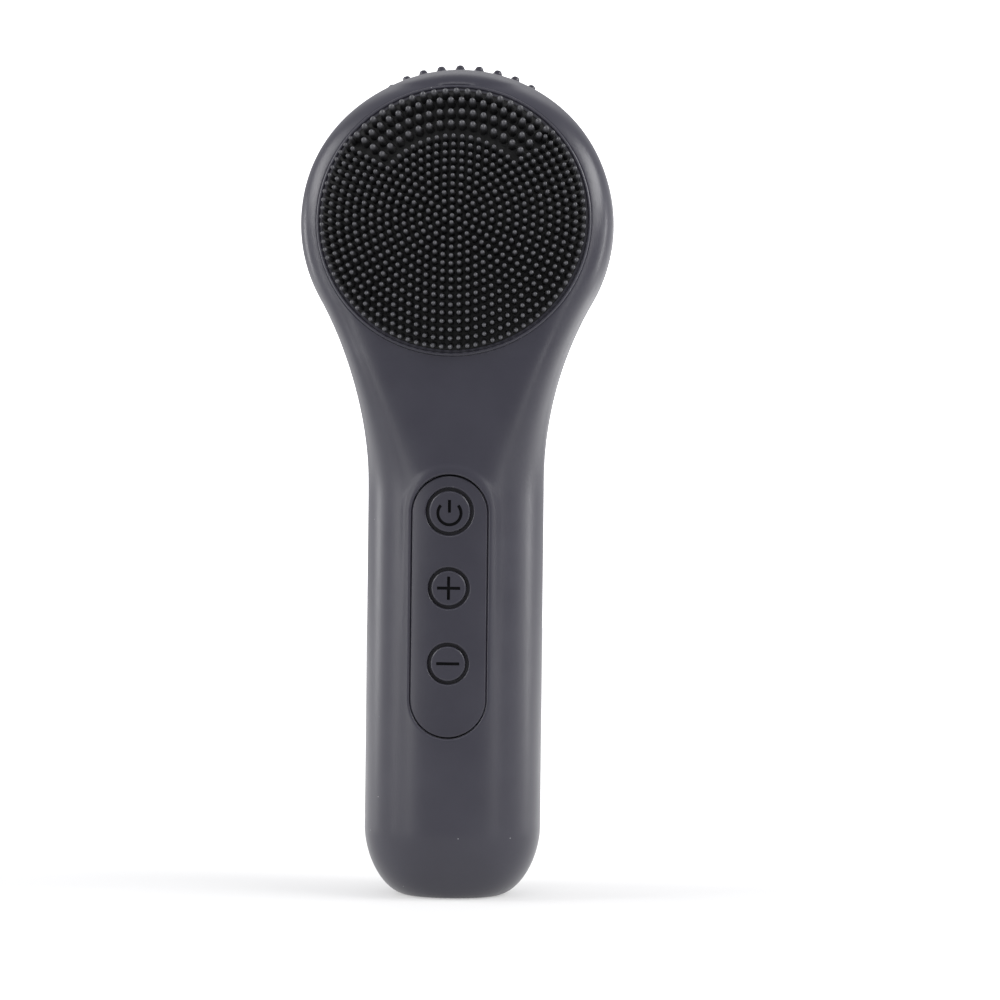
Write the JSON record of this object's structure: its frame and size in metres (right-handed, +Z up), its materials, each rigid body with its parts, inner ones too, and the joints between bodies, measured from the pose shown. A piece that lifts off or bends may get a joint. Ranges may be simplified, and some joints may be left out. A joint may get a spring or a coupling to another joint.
{
  "type": "facial cleansing brush",
  "caption": "Cordless facial cleansing brush: silicone-sleeved handle, round nubbed head, rear massage face and a front panel of push buttons; stands on its base.",
  "frame": {"origin": "centre of the flat base face, on the handle's middle plane", "axes": "+Z up the handle from the base to the head, -Y out of the brush pad and the buttons, +X to the right of someone facing the pad"},
  "size_m": [0.0608, 0.0371, 0.1595],
  "materials": {
    "silicone": "soft matte silicone, dark grey",
    "nubs": "soft satin silicone",
    "panel": "soft-touch plastic",
    "buttons": "soft-touch plastic",
    "icons": "dark inlay",
    "shell_plastic": "fine moulded texture",
    "seal_rubber": "matte",
    "clear_plastic": "polished clear plastic",
    "circuit": "solder mask",
    "chip": "moulded epoxy",
    "ceramic_cap": "fired",
    "steel": "drawn and plated",
    "gold_contact": "gold plated",
    "magnet": "nickel plated",
    "bronze": "sintered",
    "iron": "laminated core",
    "weight": "sintered tungsten",
    "wrap": "shrink film",
    "wire": "insulated wire",
    "connector": "nylon"
  },
  "bodies": {
    "housing": {"back_shell": "shell_plastic", "battery_cell": "wrap", "battery_connector": "connector", "battery_cradle": "shell_plastic", "battery_leads": "wire", "board_screws": "steel", "brush_backing_plate": "shell_plastic", "brush_pad": "nubs", "brush_pad_rim": "silicone", "capacitors": "ceramic_cap", "charger_chip": "chip", "charging_board": "circuit", "charging_contacts": "gold_contact", "charging_leads": "wire", "charging_magnet": "magnet", "circuit_board": "circuit", "control_panel": "panel", "controller_chip": "chip", "front_shell": "shell_plastic", "indicator_led": "connector", "light_pipe": "clear_plastic", "motor_boot": "seal_rubber", "motor_bracket": "shell_plastic", "motor_bushes": "bronze", "motor_can": "steel", "motor_clamp": "shell_plastic", "motor_clamp_screws": "steel", "motor_endcap": "connector", "motor_leads": "wire", "motor_magnets": "iron", "shell_screws": "steel", "shell_seal": "seal_rubber", "silicone_sleeve": "silicone", "switch_bodies": "steel"},
    "power_button_body": {"power_button": "buttons", "power_icon": "icons", "power_switch_stem": "chip"},
    "plus_button_body": {"plus_button": "buttons", "plus_icon": "icons", "plus_switch_stem": "chip"},
    "minus_button_body": {"minus_button": "buttons", "minus_icon": "icons", "minus_switch_stem": "chip"},
    "motor_spinner": {"motor_shaft": "steel", "motor_rotor": "iron", "eccentric_weight": "weight"}
  },
  "joints": [
    {"name": "power_press", "type": "slide", "parent": "housing", "child": "power_button_body", "axis": [0, 1, 0], "range_m": [0, 0.0005], "stiffness_N_per_m": 2500},
    {"name": "plus_press", "type": "slide", "parent": "housing", "child": "plus_button_body", "axis": [0, 1, 0], "range_m": [0, 0.0005], "stiffness_N_per_m": 2500},
    {"name": "minus_press", "type": "slide", "parent": "housing", "child": "minus_button_body", "axis": [0, 1, 0], "range_m": [0, 0.0005], "stiffness_N_per_m": 2500},
    {"name": "motor_spin", "type": "hinge", "parent": "housing", "child": "motor_spinner", "pos_m": [0, 0, 0.1], "axis": [0, 0, 1], "continuous": true}
  ]
}
